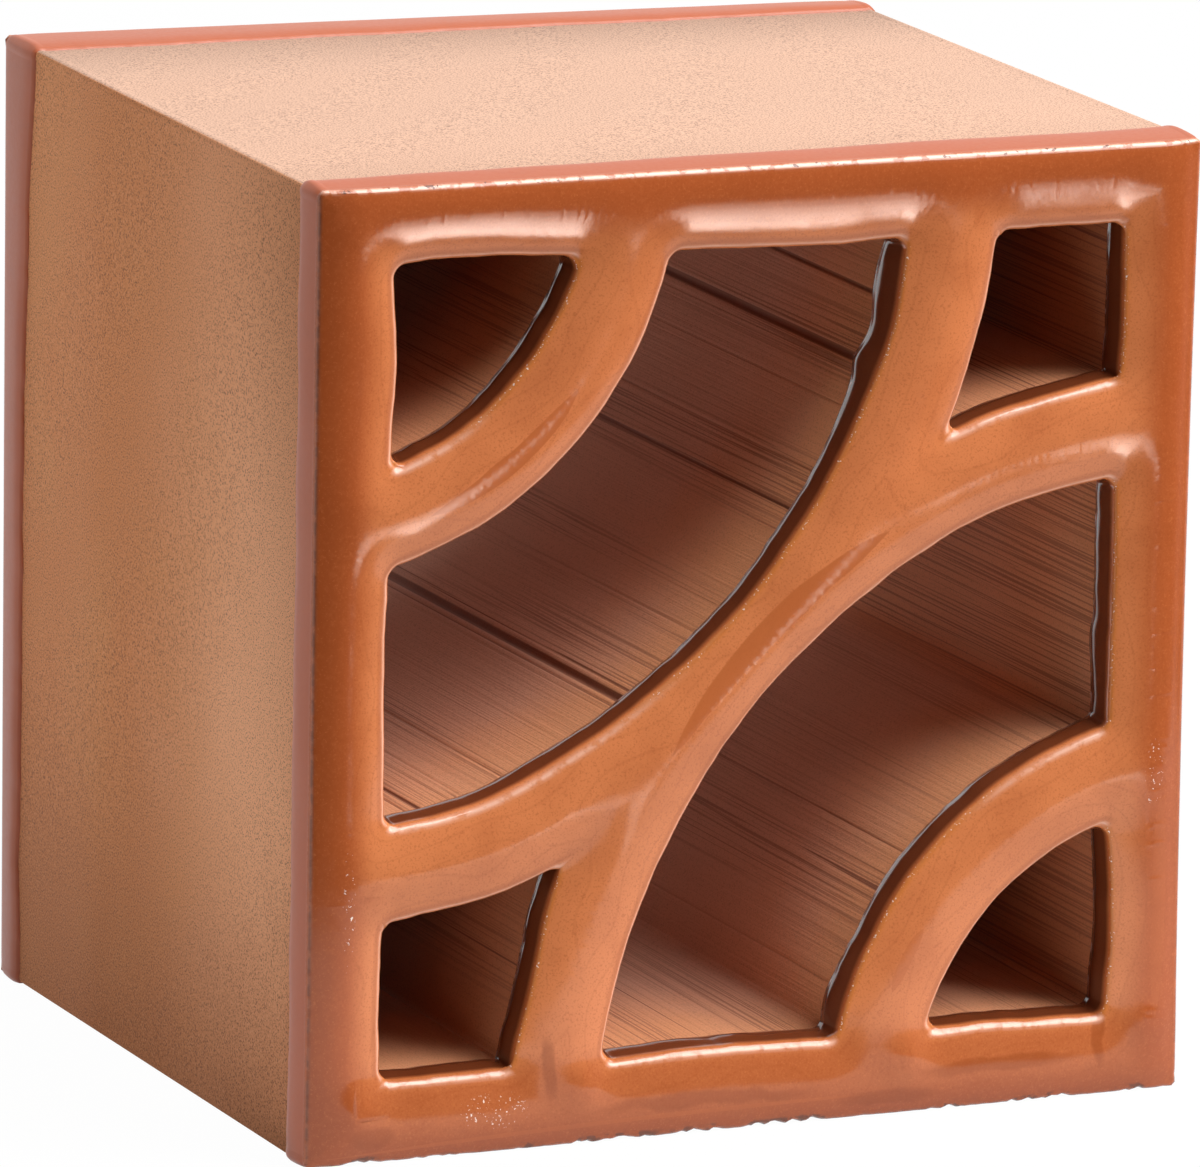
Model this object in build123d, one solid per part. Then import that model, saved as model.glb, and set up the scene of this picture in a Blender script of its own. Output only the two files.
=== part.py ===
"""A pierced clay screen block: one extruded and fired section with six openings.

The block stands on its bed with its pierced faces to the front (-Y) and the back (+Y).
Seen from the front, every web is an arc struck from the top left or the bottom right corner.
Each of those two corners has a small quarter opening, then a curved band between two rings,
and the two other corners keep a four-sided opening. The outer rings of both corners merge at
the middle in a narrow neck, and half a turn about the middle leaves the section as it was.
"""

import os
from math import hypot

from build123d import *

# Overall sizes, in millimetres
FACE_WIDTH = 200.0
FACE_HEIGHT = 204.0
DEPTH = 173.0

# Section: the outer frame, and the rings struck from two opposite corners
FRAME_WALL = 17.0
INNER_ARC_RADIUS = 61.0
INNER_RING_WALL = 20.0
OUTER_RING_WALL = 21.0
NECK_WALL = 17.7

# Roundings and eased edges, left by the die and by the glaze
BLOCK_CORNER_RADIUS = 2.5
OPENING_CORNER_RADIUS = 2.5
SPANDREL_TIP_RADIUS = 1.5
OPENING_RIM_EASING = 1.2
FACE_EDGE_RADIUS = 1.6

# The two corners that the arcs are struck from, seen from the middle of the section
TOP_LEFT = (-FACE_WIDTH / 2, FACE_HEIGHT / 2)
BOTTOM_RIGHT = (FACE_WIDTH / 2, -FACE_HEIGHT / 2)

# Radii of the arcs. The two large ones face each other across the neck, half way between
# the corners, so the diagonal sets them.
INNER_RING_RADIUS = INNER_ARC_RADIUS + INNER_RING_WALL
BAND_ARC_RADIUS = (hypot(FACE_WIDTH, FACE_HEIGHT) - NECK_WALL) / 2
OUTER_RING_RADIUS = BAND_ARC_RADIUS + OUTER_RING_WALL


def disc(corner, radius):
    """A full disc struck from one of the outer corners."""
    return Pos(*corner) * Circle(radius)


def window():
    """The rectangle inside the outer frame, which holds every opening."""
    return Rectangle(FACE_WIDTH - 2 * FRAME_WALL, FACE_HEIGHT - 2 * FRAME_WALL)


def quarter_opening(corner):
    """The small quarter opening beside a corner."""
    cut = window() & disc(corner, INNER_ARC_RADIUS)
    return fillet(cut.vertices(), OPENING_CORNER_RADIUS)


def band_opening(corner):
    """The curved band between the inner and the outer ring of a corner."""
    cut = window() & disc(corner, BAND_ARC_RADIUS)
    cut = cut - disc(corner, INNER_RING_RADIUS)
    return fillet(cut.vertices(), OPENING_CORNER_RADIUS)


def distance_from_middle(vertex):
    return hypot(vertex.X, vertex.Y)


def spandrel_openings():
    """The four-sided openings at the two corners that no ring is struck from."""
    cut = window()
    for corner in (TOP_LEFT, BOTTOM_RIGHT):
        cut = cut - disc(corner, OUTER_RING_RADIUS)
    openings = []
    for face in cut.faces():
        tip, *others = face.vertices().sort_by(distance_from_middle)
        opening = fillet(others, OPENING_CORNER_RADIUS)
        tip = opening.vertices().sort_by(distance_from_middle)[0]
        openings.append(fillet(tip, SPANDREL_TIP_RADIUS))
    return openings


def section():
    """The pierced section, drawn about its middle."""
    outline = RectangleRounded(FACE_WIDTH, FACE_HEIGHT, BLOCK_CORNER_RADIUS)
    for corner in (TOP_LEFT, BOTTOM_RIGHT):
        outline = outline - quarter_opening(corner)
        outline = outline - band_opening(corner)
    for opening in spandrel_openings():
        outline = outline - opening
    return outline


def pierced_faces(block):
    """The front and the back face."""
    return block.faces().filter_by(Axis.Y).sort_by(SortBy.AREA)[-2:]


def breeze_block():
    """The section pushed through the depth, standing on its bed, with its edges eased."""
    upright = Plane(origin=(0, 0, FACE_HEIGHT / 2), x_dir=(1, 0, 0), z_dir=(0, -1, 0))
    block = extrude(upright * section(), DEPTH / 2, both=True)
    arrises = [edge for face in pierced_faces(block) for edge in face.outer_wire().edges()]
    block = fillet(arrises, FACE_EDGE_RADIUS)
    openings = [wire for face in pierced_faces(block) for wire in face.inner_wires()]
    rims = [edge for opening in openings for edge in opening.edges()]
    return chamfer(rims, OPENING_RIM_EASING)


def main():
    os.makedirs("parts", exist_ok=True)
    block = breeze_block()
    export_step(block, "parts/breeze_block.step")
    print("breeze_block", round(block.volume / 1000, 1), "cm3")


main()
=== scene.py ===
# %% [markdown]
# # A glazed clay screen block
#
# The real block is one piece of fired clay. It was pushed through a die, cut to length, dipped
# face down in glaze at both ends and fired. So it shows three surfaces: dry sandy clay on the
# four sides, clay with die lines along the depth inside the six openings, and a thick glossy
# glaze on the two pierced faces that rolls over every rim.
#
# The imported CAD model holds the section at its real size. This lesson reads it, and dresses it
# with three pieces: the clay body, the front glaze and the back glaze.

# %% The frame, and its box
import math

import bmesh
import bpy
import numpy as np
from mathutils import Matrix, Vector, noise


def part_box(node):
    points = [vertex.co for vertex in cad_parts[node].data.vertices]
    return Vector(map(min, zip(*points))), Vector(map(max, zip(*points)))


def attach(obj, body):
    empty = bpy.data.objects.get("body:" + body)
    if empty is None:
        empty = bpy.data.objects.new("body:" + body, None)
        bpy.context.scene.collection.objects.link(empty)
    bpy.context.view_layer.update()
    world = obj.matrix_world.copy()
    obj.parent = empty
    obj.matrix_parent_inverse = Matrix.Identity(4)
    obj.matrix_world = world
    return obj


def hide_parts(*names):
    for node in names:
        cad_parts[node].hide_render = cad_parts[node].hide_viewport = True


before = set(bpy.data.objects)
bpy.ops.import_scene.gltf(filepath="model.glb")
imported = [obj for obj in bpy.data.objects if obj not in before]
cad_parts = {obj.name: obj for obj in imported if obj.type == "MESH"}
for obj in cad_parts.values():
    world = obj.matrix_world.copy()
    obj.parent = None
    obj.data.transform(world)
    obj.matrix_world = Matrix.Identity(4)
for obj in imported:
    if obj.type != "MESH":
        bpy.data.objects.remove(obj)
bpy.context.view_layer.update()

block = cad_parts["breeze_block"]
low, high = (corner * 1000 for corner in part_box("breeze_block"))
HALF_WIDTH = high.x
HALF_DEPTH = high.y
HEIGHT = high.z
print("block, in millimetres:", [round(v, 1) for v in high - low])

# %% [markdown]
# ## The camera
#
# The photograph was taken from far away with a long lens, so the block's edges hardly draw
# together. The camera looks at a spot on the front face. Its lens is given in millimetres for
# Blender's 36 millimetre sensor, and it is rolled a little, because it wasn't quite level.

# %% The camera
LENS = 390.0
AIM = Vector((-0.0359, -0.0865, 0.1193))
CAMERA_AZIMUTH, CAMERA_ELEVATION, CAMERA_ROLL = -24.12, 12.69, 1.19
CAMERA_DISTANCE = 2.6814
FARTHEST = 20


def direction(azimuth, elevation):
    """Points away from the block: the azimuth turns from its front to its right, in degrees."""
    azimuth, elevation = math.radians(azimuth), math.radians(elevation)
    level = math.cos(elevation)
    return Vector((math.sin(azimuth) * level, -math.cos(azimuth) * level, math.sin(elevation)))


def new_object(name, data):
    """An object in the scene, at the origin."""
    made = bpy.data.objects.new(name, data)
    bpy.context.scene.collection.objects.link(made)
    return made


def add_camera():
    """A camera that looks at AIM from its azimuth, elevation and distance, then rolls."""
    towards = direction(CAMERA_AZIMUTH, CAMERA_ELEVATION)
    data = bpy.data.cameras.new("camera")
    data.lens = LENS
    data.clip_end = FARTHEST
    camera = new_object("camera", data)
    turn = (-towards).to_track_quat("-Z", "Y").to_matrix().to_4x4()
    roll = Matrix.Rotation(math.radians(CAMERA_ROLL), 4, "Z")
    camera.matrix_world = Matrix.Translation(AIM + towards * CAMERA_DISTANCE) @ turn @ roll
    bpy.context.scene.camera = camera
    return camera


camera = add_camera()
print("camera at", [round(v, 3) for v in camera.matrix_world.translation])

# %% [markdown]
# ## The section as a formula
#
# Every web is an arc struck from the top left or the bottom right corner. A signed distance
# says how far a point of the face lies outside an opening, and it is negative inside one.
# With it, one line of numpy tells how far any vertex is from the nearest rim, which is what
# the glaze's thickness follows.

# %% Distances to the rims
WALL = 17.0
QUARTER_ARC, RING_ARC, BAND_ARC, SPANDREL_ARC = 61.0, 81.0, 134.0, 155.0
CORNERS = ((-HALF_WIDTH, HEIGHT), (HALF_WIDTH, 0.0))
OPENING_CORNER = 2.5


def rounded_max(distances, radius):
    """The distance to where several shapes overlap, with the overlap's corners rounded."""
    raised = [d + radius for d in distances]
    outside = np.sqrt(sum(np.maximum(d, 0) ** 2 for d in raised))
    return outside + np.minimum(np.maximum.reduce(raised), 0) - radius


def opening_distances(x, z):
    """How far each point lies outside each kind of opening."""
    window = [np.abs(x) - (HALF_WIDTH - WALL), np.abs(z - HEIGHT / 2) - (HEIGHT / 2 - WALL)]
    reach = [np.hypot(x - cx, z - cz) for cx, cz in CORNERS]
    found = []
    for r in reach:
        found.append(rounded_max(window + [r - QUARTER_ARC], OPENING_CORNER))
        found.append(rounded_max(window + [r - BAND_ARC, RING_ARC - r], OPENING_CORNER))
    found.append(rounded_max(window + [SPANDREL_ARC - r for r in reach], OPENING_CORNER))
    return found


def rim_distance(x, z):
    """The distance from the nearest opening's rim."""
    return np.minimum.reduce(opening_distances(x, z))


def side_distance(x, z):
    """The distance from the nearest outer side."""
    return np.minimum(HALF_WIDTH - np.abs(x), HEIGHT / 2 - np.abs(z - HEIGHT / 2))


def rim_direction(x, z):
    """Unit directions that point from each point to its nearest opening."""
    step = 0.02
    dx = rim_distance(x - step, z) - rim_distance(x + step, z)
    dz = rim_distance(x, z - step) - rim_distance(x, z + step)
    length = np.maximum(np.hypot(dx, dz), 1e-9)
    return dx / length, dz / length


print("neck at the middle:", round(float(2 * rim_distance(np.zeros(1), np.full(1, HEIGHT / 2))[0]), 1))

# %% [markdown]
# ## The outline
#
# The outline is cut from the CAD block itself, so the dressed block can't drift from it: a
# plane through the middle of the depth leaves the section's loops of edges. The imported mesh
# has chords for arcs, so the long chords are divided and their points put back on the arc.

# %% Outline loops from the CAD block
MERGE = 0.001
ON_PLANE = 0.0001
NEARLY_STRAIGHT = math.pi - 0.002
CHORD_SAG = 0.08
WALL_MARGIN = 0.01


def section_loops(spacing, side_spacing):
    """The section's loops at mid-depth, with no edge longer than the spacing."""
    bm = bmesh.new()
    bm.from_mesh(block.data)
    bmesh.ops.scale(bm, vec=(1000, 1000, 1000), verts=bm.verts)
    bmesh.ops.remove_doubles(bm, verts=bm.verts, dist=MERGE)
    everything = bm.verts[:] + bm.edges[:] + bm.faces[:]
    bmesh.ops.bisect_plane(bm, geom=everything, dist=ON_PLANE, plane_co=(0, 0, 0),
                           plane_no=(0, 1, 0), clear_inner=True, clear_outer=True)
    straighten(bm)
    for edge in bm.edges[:]:
        outer = max(abs(v.co.x) for v in edge.verts) > HALF_WIDTH - WALL / 2
        outer = outer or max(abs(v.co.z - HEIGHT / 2) for v in edge.verts) > HEIGHT / 2 - WALL / 2
        cuts = math.ceil(edge.calc_length() / (side_spacing if outer else spacing)) - 1
        if cuts > 0:
            bmesh.ops.subdivide_edges(bm, edges=[edge], cuts=cuts)
    put_on_arcs(bm)
    return bm


def straighten(bm):
    """Takes out the points that lie on a straight run between their neighbours."""
    flat = []
    for v in bm.verts:
        a, b = (e.other_vert(v).co - v.co for e in v.link_edges)
        if a.angle(b) > NEARLY_STRAIGHT:
            flat.append(v)
    bmesh.ops.dissolve_verts(bm, verts=flat)


def put_on_arcs(bm):
    """Moves the points of each chord out to the arc that the chord stands for."""
    for v in bm.verts:
        for cx, cz in CORNERS:
            out = Vector((v.co.x - cx, 0, v.co.z - cz))
            for radius in (QUARTER_ARC, RING_ARC, BAND_ARC, SPANDREL_ARC):
                if abs(out.length - radius) < CHORD_SAG and not on_wall(v.co):
                    v.co += out.normalized() * (radius - out.length)


def on_wall(co):
    """True on the straight sides of the openings and of the block."""
    across, up = abs(co.x), abs(co.z - HEIGHT / 2)
    inside = WALL + WALL_MARGIN
    return across > HALF_WIDTH - inside or up > HEIGHT / 2 - inside


glaze_outline = section_loops(0.9, 1.2)
print("outline of the glaze:", len(glaze_outline.verts), "points")

# %% [markdown]
# ## From flat section to a plate of glaze
#
# A glaze coat is a thin plate that wraps the end of the clay. Its flat face gets rings of faces
# round every opening with bmesh's inset, because they carry a smooth roll, and a grid
# elsewhere. Its walls are extruded edges, cut into rows by planes. All bending comes later, in
# one numpy pass over the vertices.

# %% A plate with rings round its openings
FACE_RINGS = (0.3, 0.65, 1.05, 1.5, 2.05, 2.7, 3.5, 4.4, 5.4, 6.5, 7.5)
SIDE_RINGS = (0.25, 0.55, 1.0, 1.6, 2.6, 4.2)
WALL_ROWS = (0.3, 0.65, 1.1, 1.6, 2.4, 3.4, 4.4, 5.4, 6.3, 7.1, 7.8, 8.3, 8.7, 9.1, 9.4, 9.7,
             10.0, 10.3)
GRID = 1.9
PLATE_DEPTH = 12.0
CUT_SNAP = 0.08
HOLE = 1
RIGHT, INWARDS, UP = Vector((1, 0, 0)), Vector((0, 1, 0)), Vector((0, 0, 1))


def is_side(edge):
    """True for the edges on the block's outer sides."""
    middle = (edge.verts[0].co + edge.verts[1].co) / 2
    return max(abs(middle.x) - HALF_WIDTH, abs(middle.z - HEIGHT / 2) - HEIGHT / 2) > -WALL / 2


def new_faces(result):
    """Only the faces of what an operator made."""
    return [item for item in result if isinstance(item, bmesh.types.BMFace)]


def cut(bm, geom, place, across):
    """Cuts the given geometry along a plane, and returns it with its new parts."""
    done = bmesh.ops.bisect_plane(bm, geom=geom, dist=CUT_SNAP, plane_co=place, plane_no=across)
    return list(set(done["geom"]) | set(done["geom_cut"]))


def around(faces):
    """Faces together with their edges and corners, which is what a cut works on."""
    edges = {edge for face in faces for edge in face.edges}
    verts = {vert for face in faces for vert in face.verts}
    return list(faces) + list(edges) + list(verts)


def fill_face(bm, rings):
    """Fills the loops with a face at y = 0: rings round the openings, a grid between them."""
    rims = [edge for edge in bm.edges if not is_side(edge)]
    material = new_faces(bmesh.ops.triangle_fill(bm, use_beauty=True, edges=bm.edges[:])["geom"])
    holes = bmesh.ops.edgeloop_fill(bm, edges=rims)["faces"]
    bmesh.ops.recalc_face_normals(bm, faces=bm.faces[:])
    for face in holes:
        face.material_index = HOLE
    reached = 0
    for distance in rings:
        bmesh.ops.inset_region(bm, faces=material, use_boundary=False, use_even_offset=True,
                               thickness=distance - reached)
        reached = distance
    bmesh.ops.delete(bm, geom=material, context="FACES_KEEP_BOUNDARY")
    open_edges = [edge for edge in bm.edges if len(edge.link_faces) < 2]
    between = new_faces(bmesh.ops.triangle_fill(bm, use_beauty=True, edges=open_edges)["geom"])
    bmesh.ops.recalc_face_normals(bm, faces=bm.faces[:])
    geom = around(between)
    for place, across in grid_planes():
        geom = cut(bm, geom, place, across)
    holes = [face for face in bm.faces if face.material_index == HOLE]
    bmesh.ops.delete(bm, geom=holes, context="FACES_ONLY")


def grid_planes():
    """The planes that divide the face between the rings, closer together near its sides."""
    planes = []
    for edge_distance in SIDE_RINGS:
        for sign in (-1, 1):
            planes.append((RIGHT * (sign * (HALF_WIDTH - edge_distance)), RIGHT))
            planes.append((UP * (HEIGHT / 2 + sign * (HEIGHT / 2 - edge_distance)), UP))
    inset = SIDE_RINGS[-1]
    for step in range(1, int((2 * HALF_WIDTH - 2 * inset) / GRID)):
        planes.append((RIGHT * (-HALF_WIDTH + inset + step * GRID), RIGHT))
    for step in range(1, int((HEIGHT - 2 * inset) / GRID)):
        planes.append((UP * (inset + step * GRID), UP))
    return planes


def pull_walls(bm, depth, rows):
    """Extrudes the face's edges along the depth, cuts the walls into rows and closes the end."""
    border = [edge for edge in bm.edges if edge.is_boundary]
    pulled = bmesh.ops.extrude_edge_only(bm, edges=border)["geom"]
    ends = [item for item in pulled if isinstance(item, bmesh.types.BMVert)]
    bmesh.ops.translate(bm, vec=(0, depth, 0), verts=ends)
    end_edges = [edge for edge in bm.edges if edge.is_boundary]
    geom = around(new_faces(pulled))
    for row in rows:
        geom = cut(bm, geom, INWARDS * row, INWARDS)
    bmesh.ops.triangle_fill(bm, use_beauty=True, edges=end_edges)
    bmesh.ops.recalc_face_normals(bm, faces=bm.faces[:])


plate = glaze_outline
fill_face(plate, FACE_RINGS)
pull_walls(plate, PLATE_DEPTH, WALL_ROWS)
open_edges = sum(1 for edge in plate.edges if len(edge.link_faces) != 2)
print("glaze plate:", len(plate.verts), "points, open edges:", open_edges)

# %% [markdown]
# ## Firing
#
# A block moves a little in the kiln. Its back top left corner stands nearly four millimetres
# high, its right side bows in, and the rims have settled by a millimetre here and there. The
# same soft warp is given to the clay and to both glazes, so they stay together.

# %% Steps, places and waves


def smooth_step(value):
    """0 up to 0, 1 from 1 on, and a soft rise between."""
    held = np.clip(value, 0, 1)
    return held * held * (3 - 2 * held)


def nearness(x, z, middle, reach):
    """1 at a place on the section, falling off around it."""
    return np.exp(-((x - middle[0]) ** 2 + (z - middle[1]) ** 2) / reach ** 2)


# A point times this is its place on the section.
ACROSS = np.array((1, 0, 1))


def waves(points, size, seed):
    """Smooth noise between -1 and 1 at every point, with bumps of the given size."""
    away = Vector((seed * 17.3, seed * 5.1, seed * 11.7))
    return np.array([noise.noise(Vector(p) / size + away) for p in points.tolist()])


print("half way up a smooth step:", smooth_step(0.5))

# %% The warp that firing left
# Each corner of the block, as left or right, front or back, and low or high, with its shift.
CORNER_SHIFTS = {(-1, -1, 1): (0.1, 0, 1.3), (1, -1, 1): (-0.2, 0, 0.6), (-1, 1, 1): (-1.0, 0, 3.6),
                 (1, 1, 1): (0, 0, 0.4), (-1, -1, -1): (0.4, 0, 0), (1, -1, -1): (0.5, 0, 0),
                 (-1, 1, -1): (0.2, 0, 0)}
RIGHT_BOW = -0.75
# Where a rim has settled: the place on the section, how far around it that reaches, and the shift
# across and up. The outer sides stay where they are, up to SIDE_HOLD in from them.
SETTLED = (((-62, 187), 15, (0, 1.2)), ((-83, 168), 14, (1.4, 0)), ((83, 168), 15, (0.8, 0)),
           ((83, 37), 17, (1.5, 0)), ((-58, 35), 14, (2.2, 0)), ((-62, 75), 22, (0, -1.6)),
           ((50, 124), 20, (0, 1.0)), ((14, 187), 16, (0, -0.8)), ((28, 168), 12, (0.9, 0)),
           ((-7, 17), 18, (0, 0.7)), ((-83, 32), 14, (-0.6, 0)), ((-83, 100), 18, (-0.4, 0)),
           ((-74, 51), 12, (0, 0.7)), ((55, 17), 12, (0, 0.5)), ((-76, 187), 8, (0, 0.7)))
SIDE_HOLD = 10


def warp(points):
    """Shifts points by the corner shifts, the bow of the right side and the settled rims."""
    share = np.stack([points[:, 0] / HALF_WIDTH, points[:, 1] / HALF_DEPTH,
                      points[:, 2] / (HEIGHT / 2) - 1], axis=1)
    moved = points.copy()
    for corner, shift in CORNER_SHIFTS.items():
        weight = np.prod((1 + share * np.array(corner)) / 2, axis=1)
        moved += weight[:, None] * np.array(shift)
    moved[:, 0] += RIGHT_BOW * (1 - share[:, 2] ** 2) * np.clip(share[:, 0], 0, 1)
    held = smooth_step(side_distance(points[:, 0], points[:, 2]) / SIDE_HOLD)
    for middle, reach, (across, up) in SETTLED:
        near = held * nearness(points[:, 0], points[:, 2], middle, reach)
        moved[:, 0] += across * near
        moved[:, 2] += up * near
    return moved


print("back top left corner rises by", CORNER_SHIFTS[(-1, 1, 1)][2], "mm")

# %% [markdown]
# ## How high the glaze stands
#
# Wet glaze crowns in the middle of each web, so the crown follows the distance to the nearest
# edge. A plain minimum would leave a crease where two edges are equally near, so a soft minimum
# is used, and the crown is evened out once more round each point. Where the webs have drained
# into the bottom bar, lumps stand on it.

# %% The crown and its lumps
CROWN = 2.5
RIM_REACH, SIDE_REACH, LEVEL_REACH = 13.0, 9.5, 7.0
CREASE = 0.11
EVENING, WIDEST_EVENING, EVENING_PLACES = 0.4, 3.0, 8
# Each lump: the place and the height.
LUMPS = (((-89.0, 10.5), 0.9), ((-38.5, 12.0), 1.1), ((36.5, 12.0), 1.1), ((93.0, 14.0), 0.6))
LUMP_REACH = 5.0


def crown(x, z):
    """How far the glaze stands up from the base: a rounded cushion between the edges."""
    near = [distance / RIM_REACH for distance in opening_distances(x, z)]
    near.append((HALF_WIDTH - np.abs(x) + 0.5) / SIDE_REACH)
    near.append((z + 1.0) / LEVEL_REACH)
    near.append((HEIGHT - z + 3.0) / LEVEL_REACH)
    soft_minimum = -CREASE * np.log(sum(np.exp(-distance / CREASE) for distance in near))
    share = np.clip(soft_minimum, 0, 1)
    return CROWN * (1 - (1 - share) ** 2)


def soft_crown(x, z):
    """The crown, evened out round each point, more so further from the rim."""
    reach = np.minimum(EVENING * np.maximum(rim_distance(x, z), 0), WIDEST_EVENING)
    total = crown(x, z)
    for step in range(EVENING_PLACES):
        angle = math.radians(360 / EVENING_PLACES * step)
        total = total + crown(x + reach * math.cos(angle), z + reach * math.sin(angle))
    return total / (EVENING_PLACES + 1)


def face_height(x, z):
    """The crown together with the lumps on the bottom bar."""
    height = soft_crown(x, z)
    for middle, tall in LUMPS:
        height = height + tall * nearness(x, z, middle, LUMP_REACH)
    return height


neck_height = face_height(np.zeros(1), np.full(1, HEIGHT / 2))[0]
print("the glaze crowns", round(float(neck_height), 2), "mm high on the neck")

# %% [markdown]
# ## Rolls, corners and runs
#
# A square edge turns into a quarter roll when every point near it is moved along a quarter
# circle. The block's four long corners are sharper in the photograph than in the CAD block, so
# the points beside them move out. The coat is nearly ten millimetres deep, deeper towards one
# corner of each face, and here and there the glaze has run further in.

# %% Rolls and corners
LONG_CORNER, SHARP_CORNER = 2.5, 1.0


def rim_roll(distance, depth, radius):
    """Where a point of a square edge goes on a quarter roll: its distance and its depth."""
    along = np.where(depth > 0, depth, -distance)
    angle = np.radians(45) * (1 + np.clip(along / radius, -1, 1))
    on_roll = np.abs(along) < radius
    new_distance = np.where(on_roll, radius * (1 - np.sin(angle)), distance)
    new_depth = np.where(on_roll, radius * (1 - np.cos(angle)), depth)
    return new_distance, new_depth


def sharpen(x, z):
    """How far a long corner moves out, both ways, when its radius becomes the sharp one."""
    beyond = [np.maximum(np.abs(x) - HALF_WIDTH + LONG_CORNER, 0) / LONG_CORNER,
              np.maximum(np.abs(z - HEIGHT / 2) - HEIGHT / 2 + LONG_CORNER, 0) / LONG_CORNER]
    gap = (1 - math.sqrt(0.5)) * (LONG_CORNER - SHARP_CORNER)
    return gap * np.clip(2 * beyond[0] * beyond[1], 0, 1)


def side_direction(x, z):
    """Unit directions that point out of the nearest outer side."""
    across = HALF_WIDTH - np.abs(x) < HEIGHT / 2 - np.abs(z - HEIGHT / 2)
    sx = np.where(across, np.sign(x), 0.0)
    sz = np.where(across, 0.0, np.sign(z - HEIGHT / 2))
    return sx, sz


print("a long corner moves out", round(float(sharpen(HALF_WIDTH, HEIGHT)), 2), "mm")

# %% How deep the coat reaches
# Each run: the place on the section, how wide it is, and how much deeper and thicker the glaze
# lies there.
RUNS = (((30.0, 176.0), 10.0, 4.5, 0.35), ((26.5, 160.0), 4.0, 3.5, 0.5),
        ((83.0, 112.0), 22.0, 0.5, 0.25), ((83.0, 72.0), 6.0, 3.0, 0.4),
        ((24.0, 24.0), 6.0, 1.5, 0.4), ((83.0, 96.0), 4.0, 1.0, 0.2))


def runs(x, z):
    """How much deeper and thicker the glaze lies at each point, where it has run."""
    deeper, thicker = np.zeros_like(x), np.zeros_like(x)
    for middle, width, more_depth, more_height in RUNS:
        near = nearness(x, z, middle, width)
        deeper += more_depth * near
        thicker += more_height * near
    return deeper, thicker


def front_band(x, z, opening):
    """How deep the front glaze reaches: 9.6 on the left, and more at the top right."""
    right = (x / HALF_WIDTH + 1) / 2
    high_up = z / HEIGHT
    return np.where(opening, 9.6, 9.6 + 5.0 * right * high_up)


def back_band(x, z, opening):
    """The back glaze reaches deepest at the top left corner, as seen from the front."""
    left = (1 - x / HALF_WIDTH) / 2
    high_up = z / HEIGHT
    return np.where(opening, 10.5, 10.4 + 1.0 * high_up + 6.2 * left * high_up ** 4)


deepest = front_band(HALF_WIDTH, HEIGHT, False), back_band(-HALF_WIDTH, HEIGHT, False)
print("deepest glaze, front and back:", [round(float(depth), 1) for depth in deepest])

# %% [markdown]
# ## The two coats of glaze
#
# The roll is fat on the upper and left rims, where the glaze hangs, and thin on the lower and
# right ones. Inside an opening the coat swells to a bead before it ends, and on the outer sides
# it swells less evenly. Its bottom edge is ragged, where the block stood on the kiln shelf.
#
# The same numbers tell the finish where it changes. They are kept on the points as attributes:
# how far a point is from the rim, how deep inside, whether it lies on a fat roll, on a sharp rim,
# at the end of the coat, or on an edge that is worn.

# %% The walls of the coat, and its uneven edges
BASE = 0.3
SIDE_RADIUS = 0.55
ROLL_END = 2.4
BAND_ROW = 10.0
BEAD, SIDE_BEAD, SIDE_PEAK = 0.75, 0.85, 0.7
SINK = 1.3


def wall_height(section, reach, opening, thicker, seed):
    """How far the coat's walls stand out, where reach is 0 at the face and 1 at the end."""
    bead = smooth_step((reach - 0.1) / 0.5) * (1 - smooth_step((reach - 0.6) / 0.44))
    bead *= (BEAD + thicker) * (1 + 0.45 * waves(section, 7, seed + 5))
    rising, falling = 1 - reach / SIDE_PEAK, (reach - SIDE_PEAK) / (1 - SIDE_PEAK)
    beyond = np.where(reach < SIDE_PEAK, rising, falling)
    swell = SIDE_BEAD * (1 - np.clip(beyond, 0, 1) ** 2) * (1 + 0.3 * waves(section, 20, seed + 10))
    return np.where(opening, bead, swell) - SINK * smooth_step((reach - 0.95) / 0.06)


def edge_waves(section, rim, side, opening, wear_and_highlight, seed):
    """How far the rims of the openings wobble, and how ragged the bottom edge is."""
    wobble = 0.3 * waves(section, 11, seed + 1) + 0.12 * waves(section, 3.5, seed + 2)
    wobble *= np.exp(-rim / 2.5)
    ragged = 1.2 * np.abs(waves(section, 3, seed + 8)) + 0.6 * waves(section, 1.5, seed + 9)
    ragged = np.where(section[:, 2] < 3, (0.15 + wear_and_highlight) * ragged, 0) * np.exp(-side / 1.2)
    return np.where(opening, wobble, -ragged)


def bump_at(along, place, width):
    """1 at a place along a line, falling off on both sides of it."""
    return np.exp(-((along - place) / width) ** 2)


# %% The shape of one coat


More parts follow.
